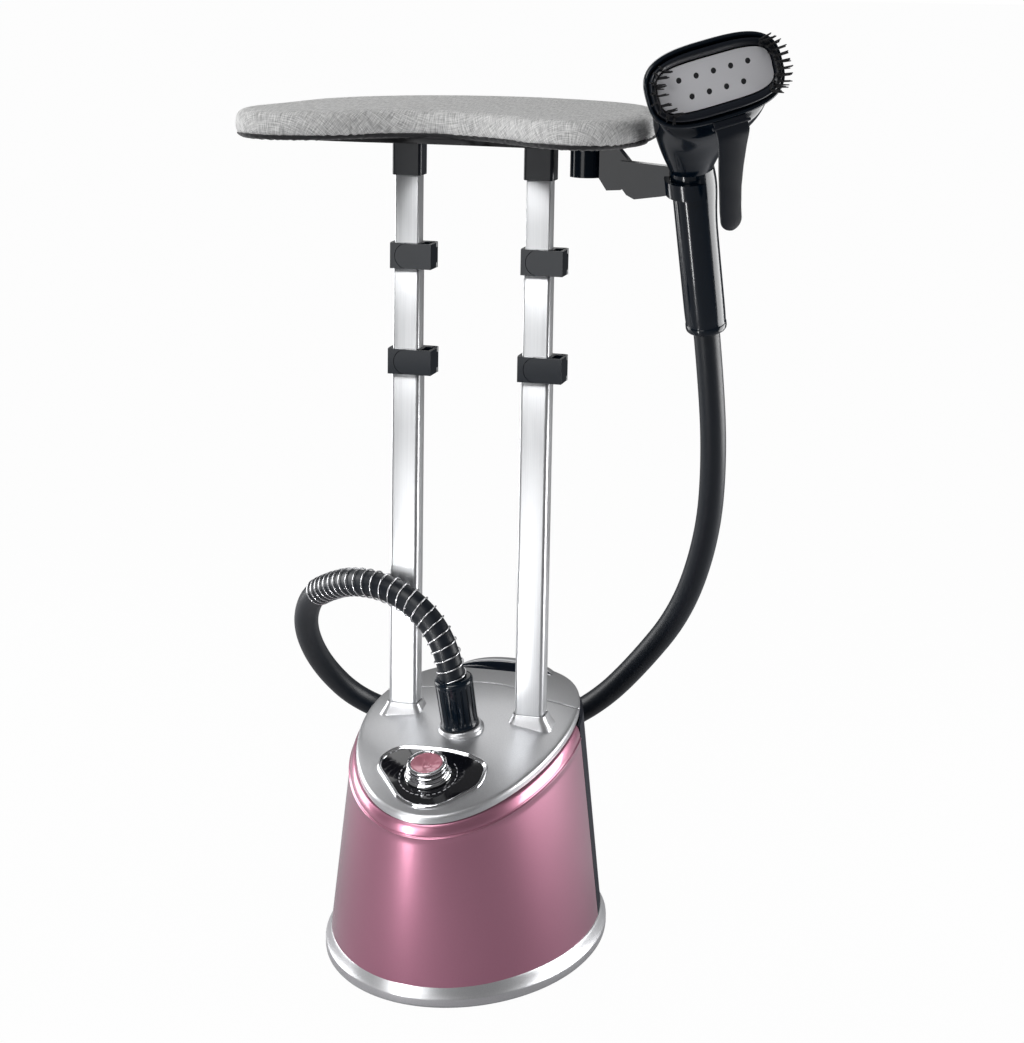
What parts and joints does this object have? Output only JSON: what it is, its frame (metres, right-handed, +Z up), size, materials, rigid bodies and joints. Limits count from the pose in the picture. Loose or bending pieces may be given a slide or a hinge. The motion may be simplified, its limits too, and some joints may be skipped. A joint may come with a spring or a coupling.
{
  "type": "garment steamer",
  "caption": "Floor-standing garment steamer: oval water-tank base, telescopic twin-pole stand, padded pressing board and a steam handset hung on a hose.",
  "frame": {"origin": "On the floor at the centre of the oval base, on the underside of its middle foot.", "axes": "+Z up the stand, the control panel and the front of the base face -Y, +X to the right of someone who faces the front."},
  "size_m": [0.5505, 0.4525, 0.9598],
  "materials": {
    "rubber": "matt",
    "black_plastic": "glossy",
    "tray_plastic": "satin",
    "pink_paint": "pearl",
    "silver_plastic": "satin silver",
    "tank_plastic": "translucent smoke",
    "chrome": "polished",
    "pink_insert": "clear over pink",
    "aluminium": "brushed and anodised",
    "steel": "plain",
    "hose_rubber": "satin",
    "spring_steel": "bright wire",
    "clear_rubber": "satin",
    "board_cloth": "heathered linen weave",
    "plate_metal": "satin",
    "bristle": "matt"
  },
  "bodies": {
    "base": {"rubber_feet": "rubber", "base_tray": "tray_plastic", "base_ring": "silver_plastic", "body_shell": "pink_paint", "mains_inlet": "black_plastic", "tank_bay": "tank_plastic", "case_screws": "steel", "front_deck": "silver_plastic", "collar_left": "silver_plastic", "collar_right": "silver_plastic", "panel_bezel": "chrome", "control_panel": "black_plastic", "rotary_switch": "tray_plastic", "boiler": "plate_metal", "thermostat": "tray_plastic", "steam_pipe": "steel", "valve_seat": "clear_rubber", "feed_tube": "clear_rubber", "hose_socket": "silver_plastic", "hose_nut": "black_plastic", "spring_guard": "spring_steel", "steam_hose": "hose_rubber", "lower_tube_left": "aluminium", "lower_tube_right": "aluminium", "lower_clamp_left": "black_plastic", "lower_clamp_right": "black_plastic", "lower_clamp_pins": "steel"},
    "knob": {"knob_skirt": "chrome", "knob_ring": "chrome", "knob_insert": "pink_insert"},
    "tank": {"tank_body": "tank_plastic", "tank_lid": "silver_plastic", "handle_well": "black_plastic", "tank_handle": "silver_plastic"},
    "tank_valve": {"tank_valve": "clear_rubber"},
    "middle_stage": {"middle_tube_left": "aluminium", "middle_tube_right": "aluminium", "upper_clamp_left": "black_plastic", "upper_clamp_right": "black_plastic", "upper_clamp_pins": "steel"},
    "upper_stage": {"upper_tube_left": "aluminium", "upper_tube_right": "aluminium", "cap_left": "black_plastic", "cap_right": "black_plastic", "board_tray": "tray_plastic", "board_cover": "board_cloth", "handset_holder": "black_plastic"},
    "handset": {"handle_rear": "black_plastic", "handle_front": "black_plastic", "head_shell": "black_plastic", "steam_tube": "clear_rubber", "steam_plate": "plate_metal"},
    "brush": {"brush_frame": "black_plastic", "brush_bristles": "bristle", "lever_pin": "steel"},
    "crease_lever": {"crease_lever": "black_plastic"},
    "lower_lever_left": {"lower_lever_left": "black_plastic"},
    "lower_lever_right": {"lower_lever_right": "black_plastic"},
    "upper_lever_left": {"upper_lever_left": "black_plastic"},
    "upper_lever_right": {"upper_lever_right": "black_plastic"}
  },
  "joints": [
    {"name": "upper_slide", "type": "slide", "parent": "base", "child": "upper_stage", "axis": [0, 0, 1], "range_m": [-0.13, 0.4], "deforming": ["steam_hose", "spring_guard"]},
    {"name": "middle_slide", "type": "slide", "parent": "base", "child": "middle_stage", "axis": [0, 0, 1], "range_m": [-0.065, 0.2]},
    {"name": "heat_knob", "type": "hinge", "parent": "base", "child": "knob", "pos_m": [-0.006, -0.132, 0.22098], "axis": [-0.0108, -0.3285, 0.9444], "range_deg": [0, 270]},
    {"name": "tank_lift", "type": "slide", "parent": "base", "child": "tank", "axis": [0, 0, 1], "range_m": [0, 0.24]},
    {"name": "valve_press", "type": "slide", "parent": "tank", "child": "tank_valve", "axis": [0, 0, 1], "range_m": [-0.001, 0.003], "stiffness_N_per_m": 150},
    {"name": "handset_lift", "type": "slide", "parent": "upper_stage", "child": "handset", "axis": [-0.065, -0.3029, 0.9508], "range_m": [0, 0.03]},
    {"name": "brush_release", "type": "slide", "parent": "handset", "child": "brush", "axis": [0.5905, -0.7966, 0.129], "range_m": [0, 0.04]},
    {"name": "crease_grip", "type": "hinge", "parent": "brush", "child": "crease_lever", "pos_m": [0.26694, -0.10012, 0.87396], "axis": [0.7598, 0.6026, 0.2442], "range_deg": [0, 12], "stiffness_Nm_per_rad": 0.6},
    {"name": "lower_clamp_left_swing", "type": "hinge", "parent": "base", "child": "lower_lever_left", "pos_m": [-0.0435, -0.0025, 0.618], "axis": [0, 0, 1], "range_deg": [0, 100]},
    {"name": "upper_clamp_left_swing", "type": "hinge", "parent": "middle_stage", "child": "upper_lever_left", "pos_m": [-0.04478, -0.00378, 0.726], "axis": [0, 0, 1], "range_deg": [0, 100]},
    {"name": "lower_clamp_right_swing", "type": "hinge", "parent": "base", "child": "lower_lever_right", "pos_m": [0.0925, -0.0025, 0.618], "axis": [0, 0, 1], "range_deg": [0, 100]},
    {"name": "upper_clamp_right_swing", "type": "hinge", "parent": "middle_stage", "child": "upper_lever_right", "pos_m": [0.09122, -0.00378, 0.726], "axis": [0, 0, 1], "range_deg": [0, 100]}
  ],
  "couplings": [
    {"joint": "middle_slide", "follows": "upper_slide", "ratio": 0.5}
  ]
}
